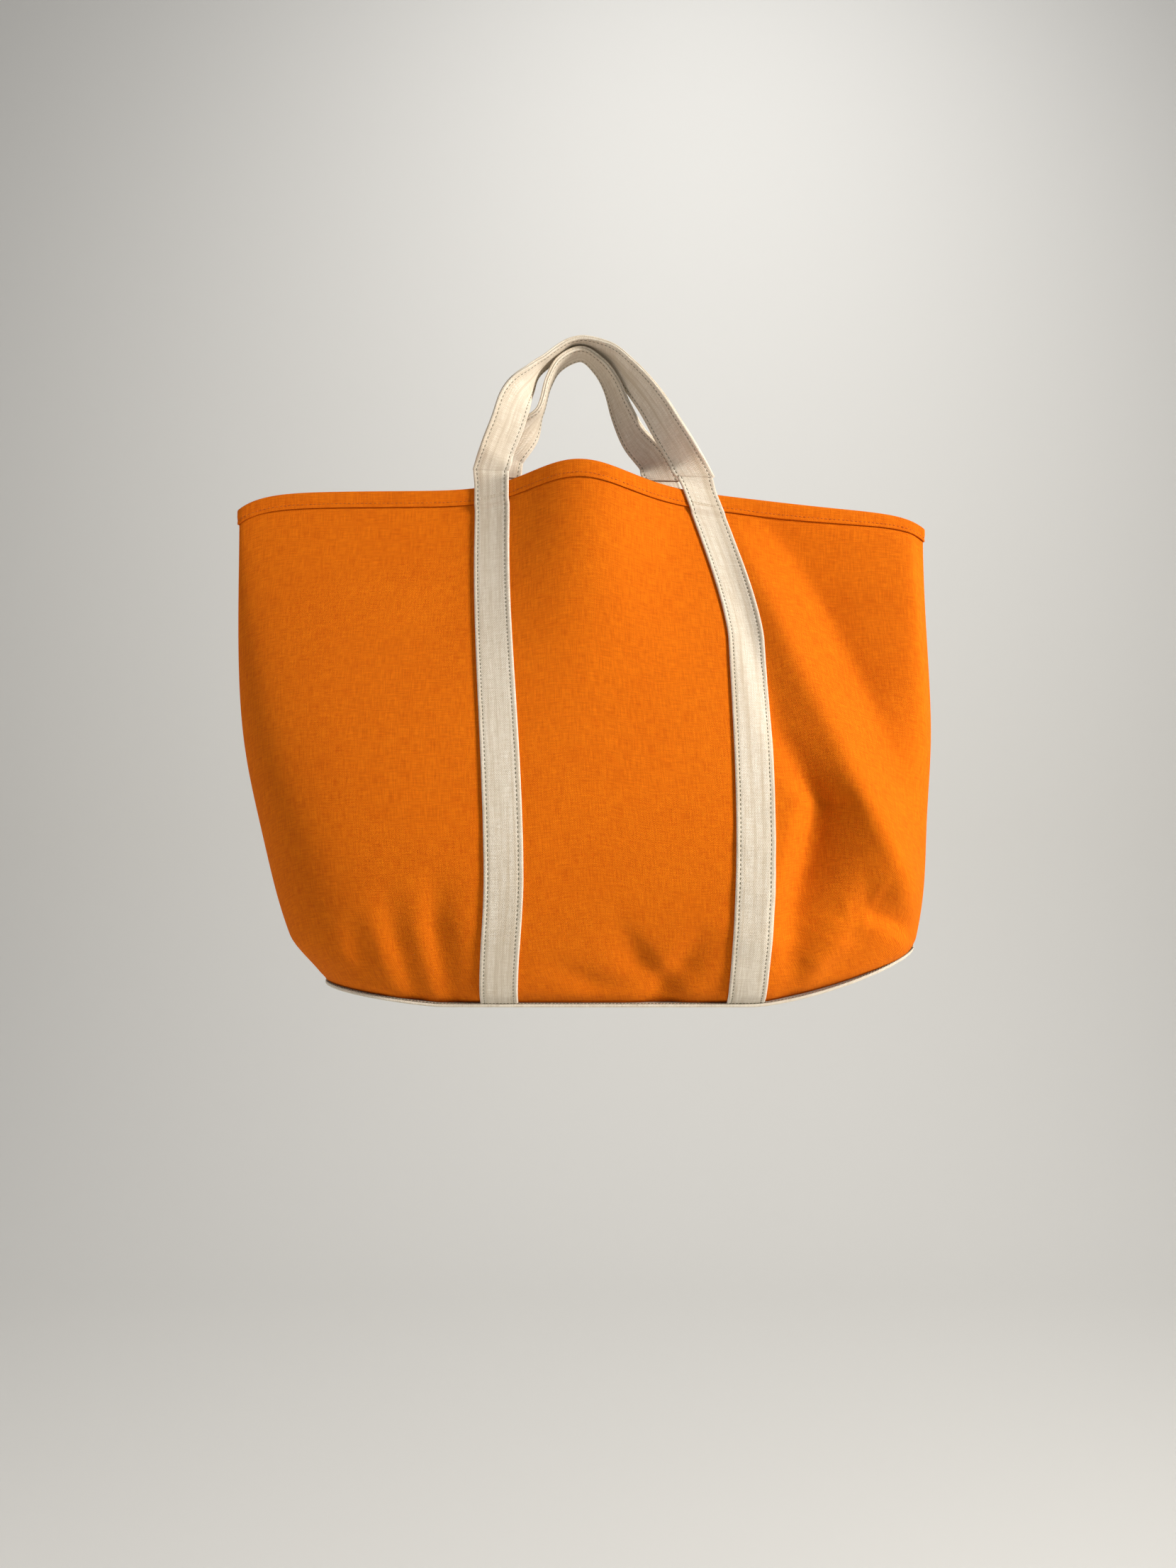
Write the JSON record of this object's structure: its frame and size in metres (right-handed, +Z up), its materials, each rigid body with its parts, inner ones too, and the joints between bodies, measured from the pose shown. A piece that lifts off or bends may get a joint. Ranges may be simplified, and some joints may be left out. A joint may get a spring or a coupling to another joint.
{
  "type": "canvas beach bag",
  "caption": "Wide open-topped boat tote of heavy canvas with contrasting straps that run from the base over the rim as two carrying loops, shaped as it hangs by them.",
  "frame": {"origin": "the hang point, under the middle of the back handle where it lies over a peg", "axes": "+Z up, +X to the right of somebody facing the bag's front, -Y towards that person, so the wall is at +Y"},
  "size_m": [0.5486, 0.1219, 0.5161],
  "materials": {
    "body_canvas": "matt plain weave, heavy",
    "natural_canvas": "matt plain weave, undyed",
    "binding_tape": "thin matt tape",
    "thread": "twisted matt thread"
  },
  "bodies": {
    "bag": {"front_panel": "body_canvas", "back_panel": "body_canvas", "base_panel": "natural_canvas", "front_rim_band": "body_canvas", "back_rim_band": "body_canvas", "front_left_strap": "natural_canvas", "front_right_strap": "natural_canvas", "back_left_strap": "natural_canvas", "back_right_strap": "natural_canvas", "left_side_seam_binding": "binding_tape", "right_side_seam_binding": "binding_tape", "front_base_seam_binding": "binding_tape", "back_base_seam_binding": "binding_tape", "left_corner_seam_binding": "binding_tape", "right_corner_seam_binding": "binding_tape", "rim_bartacks": "thread"},
    "front_handle": {"front_handle_outer": "natural_canvas", "front_handle_lining": "natural_canvas"},
    "back_handle": {"back_handle_outer": "natural_canvas", "back_handle_lining": "natural_canvas"}
  },
  "joints": [
    {"name": "front_handle_fold", "type": "hinge", "parent": "bag", "child": "front_handle", "pos_m": [-0.06988, -0.01142, -0.09396], "axis": [0.9995, 0.0148, -0.0285], "range_deg": [0, 125]},
    {"name": "back_handle_fold", "type": "hinge", "parent": "bag", "child": "back_handle", "pos_m": [-0.06212, 0.01655, -0.09273], "axis": [0.9998, 0, -0.0183], "range_deg": [-135, 0]}
  ]
}
